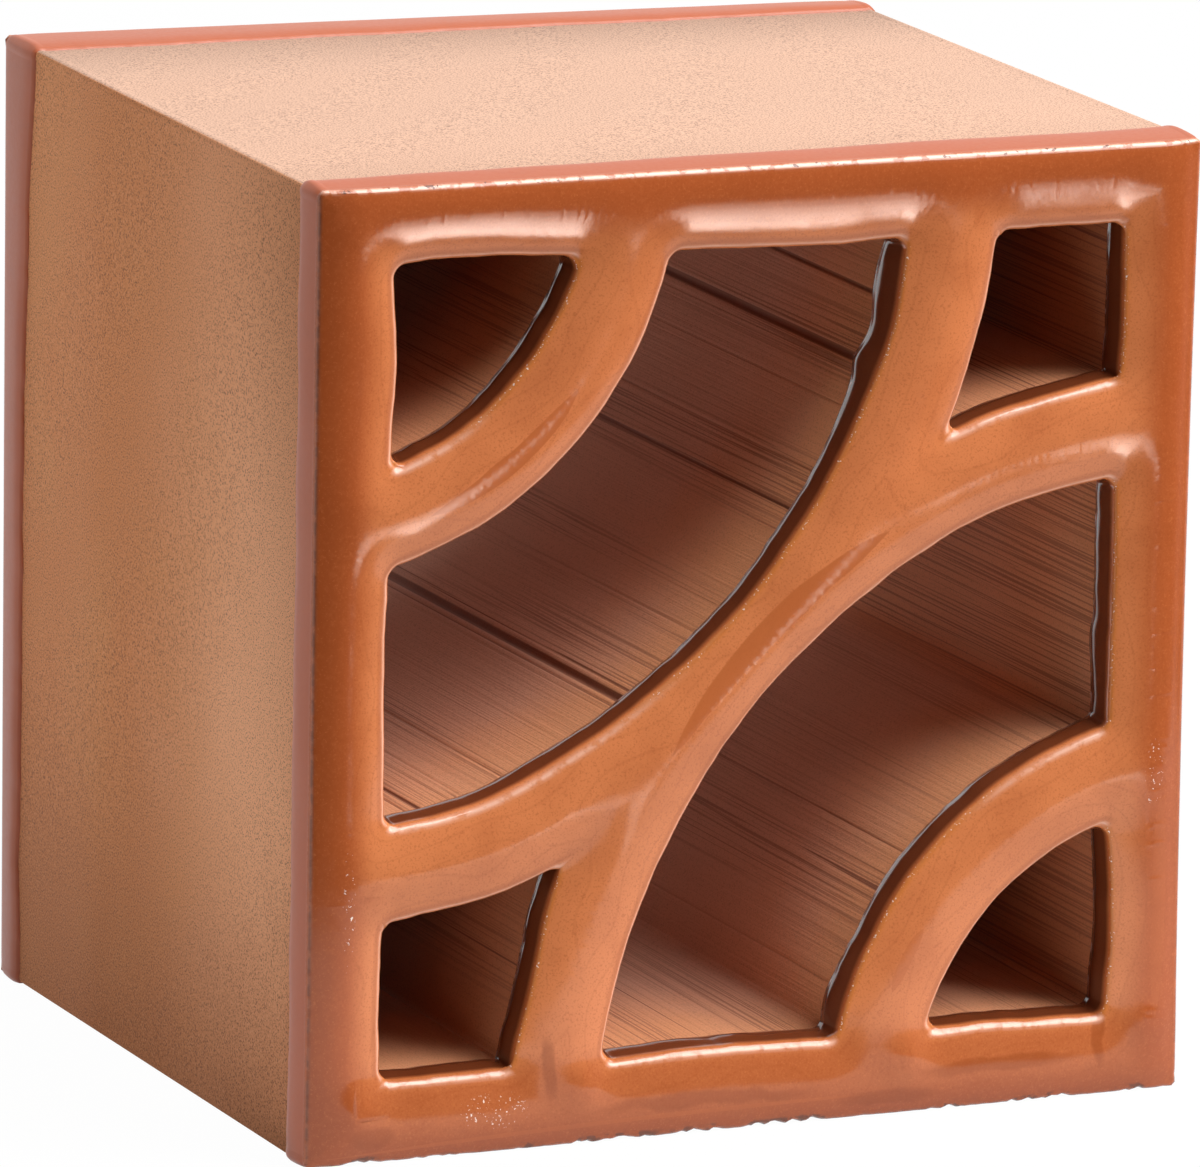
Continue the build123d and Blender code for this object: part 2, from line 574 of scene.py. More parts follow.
def shape_glaze(flat, band_depths, seed):
    """Bends the flat plate into the coat of glaze. Depth 0 is the face, and grows inwards."""
    flat_x, depth, flat_z = flat.T
    section = flat * ACROSS
    rim = np.maximum(rim_distance(flat_x, flat_z), 0)
    side = np.maximum(side_distance(flat_x, flat_z), 0)
    opening = rim < side
    near = np.where(opening, rim, side)
    nx, nz = rim_direction(flat_x, flat_z)
    sx, sz = side_direction(flat_x, flat_z)
    wear_and_highlight = smooth_step((waves(section, 9, seed + 11) + 0.1) / 0.5)

    fat = smooth_step(((nx - nz) / math.sqrt(2) + 0.35) / 0.9)
    soft = np.maximum(0.95 * fat, 0.8 * smooth_step((nz - 0.6) / 0.3))
    radius = np.where(opening, 0.5 + soft + 0.15 * waves(section, 6, seed), SIDE_RADIUS)
    rolled, roll_depth = rim_roll(near, depth, radius)

    deeper, thicker = runs(flat_x, flat_z)
    band = band_depths(flat_x, flat_z, opening) + 0.9 * waves(section, 16, seed + 3) + deeper
    band += 0.35 * waves(section, 3, seed + 4)
    scaled = ROLL_END + (depth - ROLL_END) * (band - ROLL_END) / (BAND_ROW - ROLL_END)
    new_depth = np.where(depth > ROLL_END, scaled, roll_depth)

    reach = depth / BAND_ROW
    walls = np.where(depth > 0, wall_height(section, reach, opening, thicker, seed), 0)
    out = near - rolled + edge_waves(section, rim, side, opening, wear_and_highlight, seed) + walls
    square = sharpen(flat_x, flat_z) * (0.25 + 0.75 * smooth_step(depth / 2))
    x = flat_x + np.where(opening, nx, sx) * out + np.sign(flat_x) * square
    z = flat_z + np.where(opening, nz, sz) * out + np.sign(flat_z - HEIGHT / 2) * square

    uneven = 0.14 * waves(section, 24, seed + 6) + 0.02 * waves(section, 7, seed + 7)
    lift = face_height(flat_x, flat_z) + uneven * smooth_step(near / 3)
    y = new_depth + BASE * smooth_step(1 - depth / 8) - lift * smooth_step(1 - depth / 4)

    from_frame = np.minimum.reduce([HALF_WIDTH - np.abs(x), HEIGHT - z, z + 6])
    along = np.where(depth > 0, depth, -near)
    lip = np.where(opening, smooth_step((nz - 0.75) / 0.2), 0)
    in_opening, on_side = opening.astype(float), (~opening).astype(float)
    facts = {"rim": rim, "inside": in_opening * depth,
             "web": smooth_step((from_frame - 7) / 8), "low": smooth_step((24 - z) / 12),
             "band": on_side * smooth_step(depth / 1.5),
             # left: where painted shade goes, along the left edge of the face
             "left": on_side * (sx < 0) * (depth <= 0) * np.exp(-side / 4),
             # roll, lip and arris mark where painted highlights go: fat rolls, lower rims and the top
             # edge
             "roll": in_opening * fat * bump_at(along, -0.55, 0.35),
             # under_roll: where a painted dark line goes, beside the painted highlight of the roll
             "under_roll": in_opening * fat * bump_at(along, -1.7, 0.5),
             "sharp": in_opening * (1 - fat) * (1 - lip) * bump_at(along, -0.1, 0.7),
             "lip": lip * bump_at(along, -0.9, 0.6),
             # end: where a painted highlight goes, on the bead at the end of the coat
             "end": in_opening * (depth > 0) * bump_at(reach, 0.9, 0.06),
             "arris": on_side * np.where(sz > 0, 1.0, 0.08) * bump_at(along, 0, 0.5),
             "worn": on_side * (sz < 0) * wear_and_highlight * bump_at(along, 0, 1.3),
             "edge": on_side * (sz == 0) * bump_at(along, 0, 0.4)}
    return np.stack([x, y, z], axis=1), facts


# %% The glaze pieces
GLAZE_SEAT = 0.45


def mesh_piece(bm, name, points, attributes):
    """Makes the object from the bent points, in metres, with its attributes."""
    bm.verts.ensure_lookup_table()
    for vert, co in zip(bm.verts, (warp(points) / 1000).tolist()):
        vert.co = co
    for face in bm.faces:
        face.smooth = True
        face.material_index = 0
    mesh = bpy.data.meshes.new(name)
    bm.to_mesh(mesh)
    for label, values in attributes.items():
        layer = mesh.attributes.new(label, "FLOAT", "POINT")
        layer.data.foreach_set("value", values.astype(np.float32))
    piece = new_object(name, mesh)
    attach(piece, "root")
    triangles = sum(len(face.vertices) - 2 for face in mesh.polygons)
    print(name, "has", triangles, "triangles")
    return piece


def glaze_piece(name, band_depths, seed, back):
    """One coat of glaze. The back one is turned round to face the other way."""
    bm = plate.copy()
    flat = np.array([vert.co for vert in bm.verts])
    points, facts = shape_glaze(flat, band_depths, seed)
    points[:, 1] -= HALF_DEPTH - GLAZE_SEAT
    if back:
        points[:, 1] *= -1
        bmesh.ops.reverse_faces(bm, faces=bm.faces[:])
    return mesh_piece(bm, name, points, facts)


glaze_front = glaze_piece("glaze_front", front_band, 3, back=False)
glaze_back = glaze_piece("glaze_back", back_band, 31, back=True)

# %% [markdown]
# ## The clay body
#
# The clay is the same section, a little smaller all round than the glaze, with sharper long
# corners. A die leaves fine lines and a few deep grooves that run the whole depth, so a groove
# is a dent in the outline that every row of points shares. Each groove lies on an arc, and is
# given by its place in degrees, its half width and its depth in millimetres.

# %% The die's grooves
BAND_GROOVES = ((-13.3, 0.5, 0.5), (-14.1, 0.2, 0.15), (-19.3, 0.75, 0.9), (-20.4, 0.2, 0.15),
                (-21.2, 0.2, 0.12), (-23.6, 0.25, 0.2), (-30.0, 0.3, 0.25), (-30.7, 0.2, 0.15),
                (-31.6, 0.2, 0.15), (-33.9, 0.4, 0.45), (-44.8, 0.2, 0.15), (-47.9, 0.25, 0.2),
                (-55.9, 0.2, 0.2), (-56.85, 0.85, 1.0), (-57.9, 0.25, 0.3), (-58.6, 0.2, 0.15),
                (-69.5, 0.3, 0.25), (-73.6, 0.2, 0.2), (-77.7, 0.5, 0.6), (-79.0, 0.3, 0.3))
RING_GROOVES = ((138.4, 0.3, 0.25), (143.0, 0.2, 0.12), (151.5, 0.2, 0.12), (161.0, 0.3, 0.2))
ON_ARC = 0.5


def grooves(x, z, corner, arc, listed):
    """How deep the grooves of one arc are at each point of the outline."""
    cx, cz = corner
    turned = np.degrees(np.arctan2(z - cz, x - cx))
    on_arc = np.abs(np.hypot(x - cx, z - cz) - arc) < ON_ARC
    deep = np.zeros_like(x)
    for degrees, half_width, depth in listed:
        across = np.radians(turned - degrees) * arc / half_width
        deep = np.maximum(deep, depth * np.exp(-across ** 2))
    return np.where(on_arc, deep, 0.0)


print(len(BAND_GROOVES) + len(RING_GROOVES), "grooves")

# %% The clay between the coats
GLAZE_THICKNESS = 0.25
CLAY_ROWS = 3
HIDDEN_END = 2
# The middles of the two rings' walls, from the corner that they are struck from. The quarter
# openings lie nearer than the first and the four-sided ones further away than the second.
INNER_RING_MIDDLE, OUTER_RING_MIDDLE = 71.0, BAND_ARC + 10.5


def clay_points(flat):
    """Shrinks the section under the glaze and draws the die lines along the depth."""
    x, y, z = flat.T
    section = flat * ACROSS
    opening = rim_distance(x, z) < side_distance(x, z)
    nx, nz = rim_direction(x, z)
    sx, sz = side_direction(x, z)
    lines = 0.03 * waves(section, 0.5, 49) + 0.05 * waves(section, 0.9, 50)
    lines = lines + 0.05 * waves(section, 3, 51)
    deep = grooves(x, z, CORNERS[0], BAND_ARC, BAND_GROOVES)
    deep += grooves(x, z, CORNERS[1], RING_ARC, RING_GROOVES)
    dent = lines - deep - GLAZE_THICKNESS
    out_x = np.sign(x) * sharpen(x, z) - sx * GLAZE_THICKNESS
    out_z = np.sign(z - HEIGHT / 2) * sharpen(x, z) - sz * GLAZE_THICKNESS
    near = np.minimum(*[np.hypot(x - cx, z - cz) for cx, cz in CORNERS])
    small = (near < INNER_RING_MIDDLE) | (near > OUTER_RING_MIDDLE)
    facts = {"opening": opening.astype(float), "groove": deep,
             # shaded: painted shade on the walls and ceilings of the small openings, not their floors
             "shaded": small * (1 - smooth_step((nz - 0.4) / 0.5)),
             # top: where dust and a painted sheen go
             "top": (z > HEIGHT - 0.5).astype(float)}
    moved = [x + np.where(opening, nx * dent, out_x), y, z + np.where(opening, nz * dent, out_z)]
    return np.stack(moved, axis=1), facts


def clay_body():
    """The clay between the two coats of glaze. Its ends are hidden inside them."""
    bm = section_loops(0.25, 1.0)
    bmesh.ops.triangle_fill(bm, use_beauty=True, edges=bm.edges[:])
    length = 2 * (HALF_DEPTH - HIDDEN_END)
    pull_walls(bm, length, [length * row / CLAY_ROWS for row in range(1, CLAY_ROWS)])
    bmesh.ops.translate(bm, vec=(0, -length / 2, 0), verts=bm.verts)
    flat = np.array([vert.co for vert in bm.verts])
    points, facts = clay_points(flat)
    return mesh_piece(bm, "clay_body", points, facts)


clay = clay_body()
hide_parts("breeze_block")

# %% [markdown]
# ## Materials
#
# Every finish is worked out from Object coordinates and from the attributes of the pieces.
# Small helpers add nodes, so that each material reads as a list of what it is made of.

# %% Helpers for nodes


def add(tree, kind, inputs=None, **settings):
    """Adds a node, sets its fields, and sets or links its inputs by name or by place."""
    made = tree.nodes.new("ShaderNode" + kind)
    for field, value in settings.items():
        setattr(made, field, value)
    for place, value in (inputs or {}).items():
        socket = made.inputs[place]
        if isinstance(value, bpy.types.NodeSocket):
            tree.links.new(value, socket)
        else:
            socket.default_value = value
    return made


def spots(tree, coordinates, size, detail=2.0, stretch=None):
    """Noise whose bumps are about the given size in millimetres."""
    if stretch:
        coordinates = add(tree, "Mapping", {"Vector": coordinates, "Scale": stretch}).outputs[0]
    inputs = {"Vector": coordinates, "Scale": 1000 / size, "Detail": detail}
    return add(tree, "TexNoise", inputs).outputs[0]


def ramp(tree, value, low, high, to_low=0.0, to_high=1.0):
    """Maps low..high on to_low..to_high, held at the ends."""
    inputs = {"Value": value, "From Min": low, "From Max": high, "To Min": to_low, "To Max": to_high}
    return add(tree, "MapRange", inputs, interpolation_type="SMOOTHSTEP").outputs[0]


def mix(tree, factor, first, second):
    """Mixes two colours: the factor is the second one's share."""
    return add(tree, "Mix", {0: factor, 6: first, 7: second}, data_type="RGBA").outputs[2]


def paint(tree, colour, *layers):
    """Lays colours over the first one. Each layer is a factor and its colour."""
    for factor, layer in layers:
        colour = mix(tree, factor, colour, layer)
    return colour


def maths(tree, operation, first, second=0.0):
    """One step of arithmetic."""
    return add(tree, "Math", {0: first, 1: second}, operation=operation).outputs[0]


def times(tree, first, second):
    """The product of two numbers."""
    return maths(tree, "MULTIPLY", first, second)


def attribute(tree, name):
    """A number that the piece carries on its points."""
    return add(tree, "Attribute", attribute_name=name).outputs["Fac"]


def part_of(tree, name, strength):
    """The piece's attribute times a strength."""
    return times(tree, attribute(tree, name), strength)


def new_material(name):
    """An empty Principled material: itself, its tree and its shader."""
    material = bpy.data.materials.new(name)
    material.use_nodes = True
    tree = material.node_tree
    shader = next(node for node in tree.nodes if node.type == "BSDF_PRINCIPLED")
    return material, tree, shader


# %% [markdown]
# ## The glaze finish
#
# The glaze is a brown orange glass over clay. It is darker where it lies thick and clearer and
# more orange where it thins out at a rim. A fine mottle, a few flow lines and dark pools break
# its colour, and long spindle-shaped streaks of painted dark reflection lie along the webs. The
# streaks follow the arcs of the rings, so each is drawn from its distance to an arc and its turn
# along it.

# %% Colours and places of the glaze
GLAZE_MAIN = (0.43, 0.098, 0.025, 1)
GLAZE_WEB = (0.67, 0.214, 0.076, 1)
# Thick glaze in the mottle, the flow lines and the lower face, and painted shade beside the fat rolls.
GLAZE_DEEP_AND_SHADE = (0.33, 0.070, 0.016, 1)
GLAZE_THIN = (0.70, 0.23, 0.075, 1)
GLAZE_SHADE = (0.10, 0.020, 0.007, 1)
# Painted dark reflection, drawn as streaks.
GLAZE_DARK_REFLECTION = (0.47, 0.120, 0.032, 1)
# Thick pooled glaze, and also painted shade on the face's left edge.
GLAZE_POOL_AND_SHADE = (0.27, 0.055, 0.010, 1)
GLAZE_BAND = (0.40, 0.075, 0.012, 1)
# Painted highlight on the fat rolls, the lower rims and the top edge.
GLAZE_PAINTED_HIGHLIGHT = (0.93, 0.56, 0.42, 1)
GLAZE_AMBER = (0.64, 0.20, 0.035, 1)
# Painted highlight on the bead where the coat ends.
GLAZE_END_PAINTED_HIGHLIGHT = (0.80, 0.55, 0.50, 1)
GLAZE_CHIP = (0.16, 0.05, 0.025, 1)
# Painted glints, as white specks.
GLAZE_PAINTED_GLINT = (0.95, 0.80, 0.70, 1)
# Each streak is a painted dark reflection: the corner its arc is struck from, its radius, its
# middle and its reach in degrees, its half width in millimetres, and how dark it is. A nearly
# straight one has a centre far away.
REFLECTION_STREAKS = ((CORNERS[0], 72.1, -53.0, 17.0, 2.1, 0.85), (CORNERS[1], 144.6, 132.6, 13.5, 2.7, 0.8),
           (CORNERS[1], 72.4, 152.5, 6.0, 1.3, 0.5), ((-900.0, 40.0), 994.5, 0.0, 1.4, 1.7, 0.35),
           ((20.0, -2000.0), 2005.0, 91.5, 1.9, 0.55, 0.5))
# Clusters of painted glints, drawn as white specks: the middle, and the half width and half
# height of each.
GLINT_SPECKS = (((-91.5, 55.0), 1.6, 15.0), ((92.5, 69.0), 2.5, 9.0), ((-58.0, 9.0), 9.0, 4.5))
# Pools of thick, dark glaze beside and under the lumps: the same measures.
POOLS = (((-85.5, 5.8), 6.0, 3.2), ((-45.5, 17.0), 2.0, 8.0), ((32.0, 4.4), 13.0, 2.4),
         ((81.8, 12.5), 1.8, 8.0), ((-10.0, 7.0), 30.0, 2.0), ((58.0, 9.0), 22.0, 2.0))
POOL_STRENGTH = 0.5
POOL_WAVER = 0.004


def offsets(tree, at, middle):
    """How far across and up a point lies from a middle given in millimetres."""
    place = add(tree, "SeparateXYZ", {0: at}).outputs
    return [maths(tree, "SUBTRACT", place[axis], value / 1000) for axis, value in zip("XZ", middle)]


def oval(tree, at, middle, half_width, half_height):
    """1 inside an oval, falling to 0 at its edge."""
    across, up = offsets(tree, at, middle)
    across = maths(tree, "POWER", maths(tree, "DIVIDE", across, half_width / 1000), 2.0)
    up = maths(tree, "POWER", maths(tree, "DIVIDE", up, half_height / 1000), 2.0)
    return ramp(tree, maths(tree, "ADD", across, up), 0.2, 1.0, 1.0, 0.0)


def arc_streak(tree, at, corner, radius, middle, reach, half_width, strength):
    """A spindle-shaped streak of painted dark reflection that follows an arc."""
    across, up = offsets(tree, at, corner)
    out = add(tree, "CombineXYZ", {0: across, 2: up}).outputs[0]
    length = add(tree, "VectorMath", {0: out}, operation="LENGTH").outputs["Value"]
    aside = maths(tree, "ABSOLUTE", maths(tree, "SUBTRACT", length, radius / 1000))
    aside = maths(tree, "DIVIDE", aside, half_width / 1000)
    wavy = times(tree, spots(tree, at, 14, 1.0), 0.5)
    aside = maths(tree, "ADD", aside, maths(tree, "SUBTRACT", wavy, 0.25))
    turned = maths(tree, "ARCTAN2", up, across)
    turned = maths(tree, "SUBTRACT", turned, math.radians(middle))
    along = maths(tree, "DIVIDE", turned, math.radians(reach))
    pointed = maths(tree, "POWER", maths(tree, "ABSOLUTE", along), 3.2)
    return ramp(tree, maths(tree, "ADD", aside, pointed), 0.86, 1.02, strength, 0.0)


def waver(tree, at):
    """The coordinates, shifted a little by noise, so that an oval isn't too regular."""
    shift = add(tree, "TexNoise", {"Vector": at, "Scale": 110, "Detail": 2.0}).outputs["Color"]
    shift = add(tree, "VectorMath", {0: shift, 1: (0.5, 0.5, 0.5)}, operation="SUBTRACT").outputs[0]
    shift = add(tree, "VectorMath", {0: shift, "Scale": POOL_WAVER}, operation="SCALE").outputs[0]
    return add(tree, "VectorMath", {0: at, 1: shift}, operation="ADD").outputs[0]


print(len(REFLECTION_STREAKS), "streaks,", len(POOLS), "pools and", len(GLINT_SPECKS), "clusters of specks")

# %% The colour of the glaze on the face


def face_colour(tree, at, fine, grain):
    """The glaze colour, lighter on the webs and darker low down, with its mottle, flow lines and
    pools, streaks of painted dark reflection, and painted shade on the left edge and in the openings.
    """
    broad, cloud = spots(tree, at, 22, 3.0), spots(tree, at, 9, 3.0)
    low, rim = attribute(tree, "low"), attribute(tree, "rim")
    colour = paint(tree, GLAZE_MAIN, (attribute(tree, "web"), GLAZE_WEB),
                   (ramp(tree, cloud, 0.45, 0.7, 0.0, 0.13), GLAZE_DEEP_AND_SHADE),
                   (ramp(tree, broad, 0.4, 0.7, 0.0, 0.22), GLAZE_DEEP_AND_SHADE),
                   (ramp(tree, low, 0.0, 1.0, 0.0, 0.6), GLAZE_DEEP_AND_SHADE),
                   # Painted shade along the left edge of the face, in the dark pool colour.
                   (part_of(tree, "left", 0.95), GLAZE_POOL_AND_SHADE),
                   (ramp(tree, rim, 0.2, 4.0, 0.3, 0.0), GLAZE_THIN),
                   (ramp(tree, fine, 0.45, 0.75, 0.0, 0.1), GLAZE_THIN),
                   (ramp(tree, grain, 0.5, 0.72, 0.0, 0.35), GLAZE_DEEP_AND_SHADE),
                   (ramp(tree, grain, 0.28, 0.42, 0.2, 0.0), GLAZE_THIN),
                   (attribute(tree, "band"), GLAZE_BAND))
    flow = times(tree, spots(tree, at, 26, 0.5), 22.0)
    flow = maths(tree, "PINGPONG", maths(tree, "ADD", rim, flow), 2.8)
    colour = mix(tree, ramp(tree, flow, 0.0, 0.5, 0.14, 0.0), colour, GLAZE_DEEP_AND_SHADE)
    # Streaks of painted dark reflection along the webs and bars.
    for streak in REFLECTION_STREAKS:
        colour = mix(tree, arc_streak(tree, at, *streak), colour, GLAZE_DARK_REFLECTION)
    wavy = waver(tree, at)
    for pool in POOLS:
        pooled = times(tree, oval(tree, wavy, *pool), POOL_STRENGTH)
        colour = mix(tree, pooled, colour, GLAZE_POOL_AND_SHADE)
    # Painted shade: the glaze darkens with depth inside the openings.
    inside = ramp(tree, attribute(tree, "inside"), 0.6, 2.6, 0.0, 0.9)
    return mix(tree, inside, colour, GLAZE_SHADE)


# %% [markdown]
# ### Painted highlights and wear on the rims and edges
#
# A fat rim gets a painted pink highlight over a painted dark line, the lower rim of each opening
# a painted highlight, and a sharp rim turns amber with white specks of painted glint. The edge
# between face and top gets a painted highlight and is chipped, and the bottom and side edges are
# worn. All of these follow an attribute, with noise to interrupt them.

# %% The glaze on rims and edges


def rim_colour(tree, at, colour, coarse):
    """Adds the painted highlights and painted dark lines of the rims, the amber of sharp rims with
    painted glints, and the painted highlight at the end of the coat.
    """
    # Painted highlight on the lower rims, broken up by noise.
    lip = part_of(tree, "lip", ramp(tree, coarse, 0.3, 0.55, 0.2, 0.8))
    # Painted highlight on the bead where the coat ends.
    ended = part_of(tree, "end", ramp(tree, coarse, 0.45, 0.6, 0.0, 0.6))
    # Painted glints: white dots along the sharp rims.
    glint_dots = ramp(tree, spots(tree, at, 0.5, 1.0), 0.65, 0.70)
    at_sharp = ramp(tree, attribute(tree, "sharp"), 0.3, 0.8)
    # First painted shade in a dark line beside the roll, then painted highlights, amber and painted
    # glints.
    return paint(tree, colour, (part_of(tree, "under_roll", 0.45), GLAZE_DEEP_AND_SHADE),
                 # Painted highlight on the fat rolls.
                 (part_of(tree, "roll", 0.85), GLAZE_PAINTED_HIGHLIGHT),
                 (part_of(tree, "sharp", 0.8), GLAZE_AMBER), (lip, GLAZE_PAINTED_HIGHLIGHT),
                 (ended, GLAZE_END_PAINTED_HIGHLIGHT), (times(tree, glint_dots, at_sharp), GLAZE_PAINTED_GLINT))


def worn_colour(tree, at, colour, coarse):
    """Adds the painted highlight on the top edge with its chips, the worn edges and the clusters of
    painted glints.
    """
    # Painted highlight along the top edge, broken up by noise.
    wear_and_highlight = part_of(tree, "arris", ramp(tree, coarse, 0.36, 0.5, 0.15, 0.95))
    on_arris = ramp(tree, attribute(tree, "arris"), 0.15, 0.5)
    chips = ramp(tree, spots(tree, at, 2.0, 3.0), 0.63, 0.67)
    on_worn = ramp(tree, attribute(tree, "worn"), 0.15, 0.5)
    worn = maths(tree, "MAXIMUM", on_worn, part_of(tree, "edge", 0.7))
    scallops = ramp(tree, spots(tree, at, 2.6, 3.0), 0.42, 0.52, 0.0, 0.85)
    # Painted glints, in a few clusters of white specks.
    glint_specks = ramp(tree, spots(tree, at, 0.6, 2.0), 0.64, 0.69)
    spotted = [times(tree, oval(tree, at, *cluster), glint_specks) for cluster in GLINT_SPECKS]
    return paint(tree, colour, (wear_and_highlight, GLAZE_PAINTED_HIGHLIGHT), (times(tree, on_arris, chips), GLAZE_CHIP),
                 (times(tree, worn, scallops), GLAZE_CHIP),
                 *[(factor, GLAZE_PAINTED_GLINT) for factor in spotted])


# %% The glaze material
GLASS_IOR = 1.52


def glaze_material():
    """The glossy glaze, with its colour, its gloss and its slight unevenness."""
    material, tree, shader = new_material("amber_glaze")
    at = add(tree, "TexCoord").outputs["Object"]
    fine, grain = spots(tree, at, 1.1, 4.0), spots(tree, at, 0.45, 2.0)
    coarse = spots(tree, at, 2.4, 2.0)
    colour = face_colour(tree, at, fine, grain)
    colour = rim_colour(tree, at, colour, coarse)
    colour = worn_colour(tree, at, colour, coarse)
    tree.links.new(colour, shader.inputs["Base Color"])
    rough = ramp(tree, fine, 0.3, 0.8, 0.11, 0.16)
    rough = maths(tree, "ADD", rough, part_of(tree, "band", 0.26))
    tree.links.new(rough, shader.inputs["Roughness"])
    shader.inputs["IOR"].default_value = GLASS_IOR
    height = maths(tree, "ADD", times(tree, fine, 0.18), times(tree, spots(tree, at, 6, 1.0), 0.25))
    height = maths(tree, "ADD", height, times(tree, grain, 0.08))
    bump = add(tree, "Bump", {"Strength": 0.14, "Distance": 0.0004, "Height": height})
    tree.links.new(bump.outputs[0], shader.inputs["Normal"])
    print(material.name, "has", len(tree.nodes), "nodes")
    return material


amber_glaze = glaze_material()
glaze_front.data.materials.append(amber_glaze)
glaze_back.data.materials.append(amber_glaze)

# %% [markdown]
# ## The clay finish
#
# The dry sides are a warm tan with fine dark pores and light grains, paler towards the front on
# the left and darker near the ground. The top is paler, with dust and a painted sheen. Inside
# the openings the die has dragged the clay into lines along the depth. Noise that is stretched
# along that axis draws them. There the clay is warmer near the front, and painted shade makes
# the walls of the small openings browner.

# %% Colours of the clay
CLAY_TAN = (0.64, 0.235, 0.080, 1)
CLAY_OCHRE = (0.66, 0.260, 0.092, 1)
CLAY_PALE = (0.93, 0.46, 0.25, 1)
CLAY_LOW = (0.46, 0.16, 0.055, 1)
# Dust and a painted sheen on the top face.
CLAY_DUST_AND_SHEEN = (0.56, 0.345, 0.245, 1)
CLAY_INSIDE = (0.60, 0.30, 0.20, 1)
CLAY_WARM = (0.64, 0.265, 0.12, 1)
# Painted shade for the walls of the small openings.
CLAY_PAINTED_SHADE = (0.44, 0.135, 0.045, 1)
CLAY_LINE = (0.22, 0.07, 0.035, 1)
CLAY_PORE = (0.09, 0.035, 0.02, 1)
CLAY_GRAIN = (0.92, 0.54, 0.33, 1)
# Noise scaled like this makes lines along the depth, and longish patches.
ALONG, LONGISH = (1, 0.004, 1), (1, 0.05, 1)


def outer_clay(tree, place, broad, uneven, forward):
    """The dry sides and the top."""
    paler = times(tree, ramp(tree, forward, -0.062, 0.015, 0.95, 0.0),
                  ramp(tree, place["Z"], 0.11, 0.20, 1.0, 0.5))
    on_left = ramp(tree, place["X"], -0.08, 0.04, 1.0, 0.25)
    low = ramp(tree, maths(tree, "ADD", place["Z"], uneven), 0.0, 0.08, 0.7, 0.0)
    return paint(tree, CLAY_TAN, (ramp(tree, broad, 0.4, 0.7), CLAY_OCHRE),
                 (times(tree, paler, on_left), CLAY_PALE), (low, CLAY_LOW),
                 # Dust and a painted sheen on the top face.
                 (attribute(tree, "top"), CLAY_DUST_AND_SHEEN))


def inner_clay(tree, at, place, forward, lines):
    """The walls of the openings, with their die lines and grooves."""
    warmth = maths(tree, "MAXIMUM", ramp(tree, forward, -0.08, -0.025, 1.0, 0.0),
                   ramp(tree, place["X"], 0.07, 0.082, 0.0, 0.8))
    zone = ramp(tree, spots(tree, at, 16, 1.0, LONGISH), 0.4, 0.62)
    zone = maths(tree, "MAXIMUM", zone, ramp(tree, place["X"], 0.079, 0.082))
    fine_lines = times(tree, ramp(tree, lines, 0.4, 0.5, 0.6, 0.0), zone)
    scratches = ramp(tree, spots(tree, at, 1.0, 1.0, ALONG), 0.25, 0.29, 0.9, 0.0)
    groove = ramp(tree, attribute(tree, "groove"), 0.08, 0.35, 0.0, 0.9)
    return paint(tree, CLAY_INSIDE, (warmth, CLAY_WARM),
                 # Painted shade browns the walls of the small openings.
                 (part_of(tree, "shaded", 0.65), CLAY_PAINTED_SHADE), (fine_lines, CLAY_LINE),
                 (scratches, CLAY_LINE), (groove, CLAY_LINE))


# %% The clay material
CLAY_ROUGHNESS = 0.85
CLAY_BUMP = 0.0003


def clay_material():
    """Dry, rough clay outside, and dragged clay inside the openings."""
    material, tree, shader = new_material("fired_clay")
    at = add(tree, "TexCoord").outputs["Object"]
    place = add(tree, "SeparateXYZ", {0: at}).outputs
    broad, sand = spots(tree, at, 45, 4.0), spots(tree, at, 0.40, 2.0)
    uneven = times(tree, maths(tree, "SUBTRACT", broad, 0.5), 0.06)
    forward = maths(tree, "ADD", place["Y"], uneven)
    lines = spots(tree, at, 0.45, 2.0, ALONG)
    outer = outer_clay(tree, place, broad, uneven, forward)
    inner = inner_clay(tree, at, place, forward, lines)
    colour = mix(tree, attribute(tree, "opening"), outer, inner)
    outside = maths(tree, "SUBTRACT", 1.0, attribute(tree, "opening"))
    pits = times(tree, ramp(tree, sand, 0.53, 0.66, 0.0, 0.65),
                 maths(tree, "ADD", 0.4, times(tree, outside, 0.6)))
    grains = times(tree, ramp(tree, sand, 0.32, 0.45, 0.25, 0.0), outside)
    colour = paint(tree, colour, (pits, CLAY_PORE), (grains, CLAY_GRAIN))
    tree.links.new(colour, shader.inputs["Base Color"])
    shader.inputs["Roughness"].default_value = CLAY_ROUGHNESS
    height = maths(tree, "ADD", spots(tree, at, 1.2, 3.0), times(tree, sand, 0.5))
    bump = add(tree, "Bump", {"Strength": 0.35, "Distance": CLAY_BUMP, "Height": height})
    drag = add(tree, "Bump", {"Strength": part_of(tree, "opening", 0.5), "Distance": CLAY_BUMP,
                              "Height": lines, "Normal": bump.outputs[0]})
    tree.links.new(drag.outputs[0], shader.inputs["Normal"])
    print(material.name, "has", len(tree.nodes), "nodes")
    return material


clay.data.materials.append(clay_material())

# %% [markdown]
# ## Floor, world and lamps
#
# The block stands on a pale table in a white studio. A large soft key lamp on the right makes
# the top the brightest side and lights every web from its right. Weak lamps above and on the
# left fill the rest, and the room in front is dark. Four low cards in front, beyond the table's
# edge, give the long gleams above the openings. They get brighter downwards. The table is as
# white for the camera, and in reflections, as the surroundings, apart from a trace of shadow.

# %% The table and the studio
TABLE_SIZE, TABLE_EDGE = 3, 0.20
TABLE_GREY = (0.86, 0.86, 0.86, 1)
TABLE_ROUGHNESS, TABLE_WHITE = 0.9, 0.98
FRONT_DARK, STUDIO_LIGHT = 0.05, 0.34
# The share of the way to the front at which the studio is as dark as it gets.
DARK_FROM = -0.7


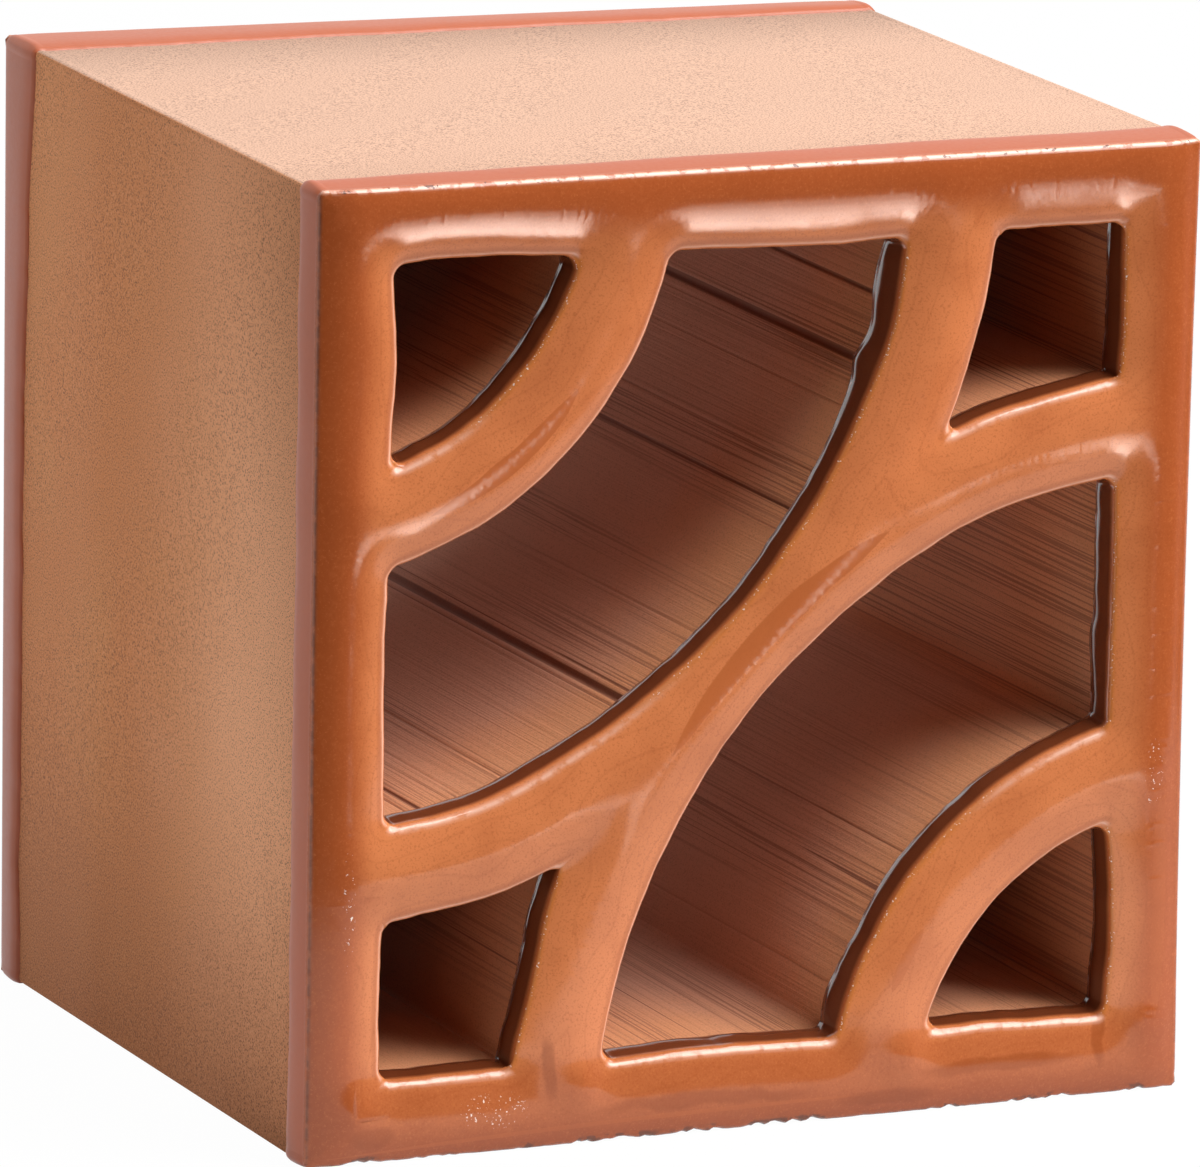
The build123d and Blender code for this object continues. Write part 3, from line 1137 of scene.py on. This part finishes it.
def seen_directly(tree):
    """1 for rays that see a surface as the eye does: straight on, in gloss or through glass."""
    path = add(tree, "LightPath").outputs
    seen = maths(tree, "MAXIMUM", path["Is Camera Ray"], path["Is Glossy Ray"])
    return maths(tree, "MAXIMUM", seen, path["Is Transmission Ray"])


def add_floor():
    """A pale table that ends a little in front of the block."""
    bm = bmesh.new()
    bmesh.ops.create_grid(bm, x_segments=1, y_segments=1, size=TABLE_SIZE)
    back = TABLE_SIZE - HALF_DEPTH / 1000 - TABLE_EDGE
    bmesh.ops.translate(bm, vec=(0, back, 0), verts=bm.verts)
    mesh = bpy.data.meshes.new("floor")
    bm.to_mesh(mesh)
    material, tree, shader = new_material("pale_table")
    shader.inputs["Base Color"].default_value = TABLE_GREY
    shader.inputs["Roughness"].default_value = TABLE_ROUGHNESS
    glow = add(tree, "Emission", {"Color": (1, 1, 1, 1), "Strength": 1.0})
    share = times(tree, seen_directly(tree), TABLE_WHITE)
    blend = add(tree, "MixShader", {0: share, 1: shader.outputs[0], 2: glow.outputs[0]})
    output = next(node for node in tree.nodes if node.type == "OUTPUT_MATERIAL")
    tree.links.new(blend.outputs[0], output.inputs["Surface"])
    mesh.materials.append(material)
    floor = new_object("floor", mesh)


def add_world():
    """A white studio with a dark front. The camera sees it white all round."""
    world = bpy.data.worlds.new("studio")
    world.use_nodes = True
    tree = world.node_tree
    background = next(node for node in tree.nodes if node.type == "BACKGROUND")
    background.inputs["Color"].default_value = (1, 1, 1, 1)
    towards = add(tree, "TexCoord").outputs["Generated"]
    ahead = add(tree, "SeparateXYZ", {0: towards}).outputs["Y"]
    lighting = ramp(tree, ahead, DARK_FROM, 0.0, FRONT_DARK, STUDIO_LIGHT)
    backdrop = maths(tree, "MAXIMUM", ramp(tree, ahead, DARK_FROM, 0.0, FRONT_DARK, 1.0),
                     add(tree, "LightPath").outputs["Is Camera Ray"])
    inputs = {0: seen_directly(tree), 2: lighting, 3: backdrop}
    strength = add(tree, "Mix", inputs, data_type="FLOAT")
    tree.links.new(strength.outputs[0], background.inputs["Strength"])
    bpy.context.scene.world = world


add_floor()
add_world()
print("the table ends", TABLE_EDGE, "m in front of the block")

# %% The lamps
# Each lamp: its name, azimuth and elevation in degrees as seen from the block, distance, width
# and height in metres, and radiance.
LAMPS = (("overhead", 180, 76, 1.3, 1.2, 1.0, 1.2), ("key", 57, 49, 2.4, 2.1, 2.1, 7.7),
         ("left_fill", -100, 15, 1.7, 1.2, 1.0, 0.40))
CARDS = 4
CARD_AZIMUTH, CARD_TOP, CARD_STEP = 25, -17.5, 4.5
CARD_DISTANCE, CARD_WIDTH, CARD_HEIGHT = 3.0, 0.40, 0.25
CARD_LIGHT = 4.5
CARD_TINT = (1, 0.80, 0.70)


def add_lamp(name, azimuth, elevation, distance, width, height, radiance, colour=(1, 1, 1)):
    """A rectangular lamp that faces the block, seen from it in the given direction."""
    towards = direction(azimuth, elevation)
    data = bpy.data.lights.new(name, "AREA")
    data.shape = "RECTANGLE"
    data.size, data.size_y = width, height
    data.energy = radiance * math.pi * width * height
    data.color = colour
    lamp = new_object(name, data)
    lamp.location = Vector((0, 0, HEIGHT / 2000)) + towards * distance
    lamp.rotation_euler = (-towards).to_track_quat("-Z", "Y").to_euler()
    lamp.visible_camera = False
    print(name, "gives", round(data.energy, 1), "W")


for lamp in LAMPS:
    add_lamp(*lamp)
for step in range(CARDS):
    add_lamp("low_card_" + str(step), CARD_AZIMUTH, CARD_TOP - CARD_STEP * step, CARD_DISTANCE,
             CARD_WIDTH, CARD_HEIGHT, CARD_LIGHT * (1 + step), CARD_TINT)
bpy.context.scene.view_settings.view_transform = "Standard"
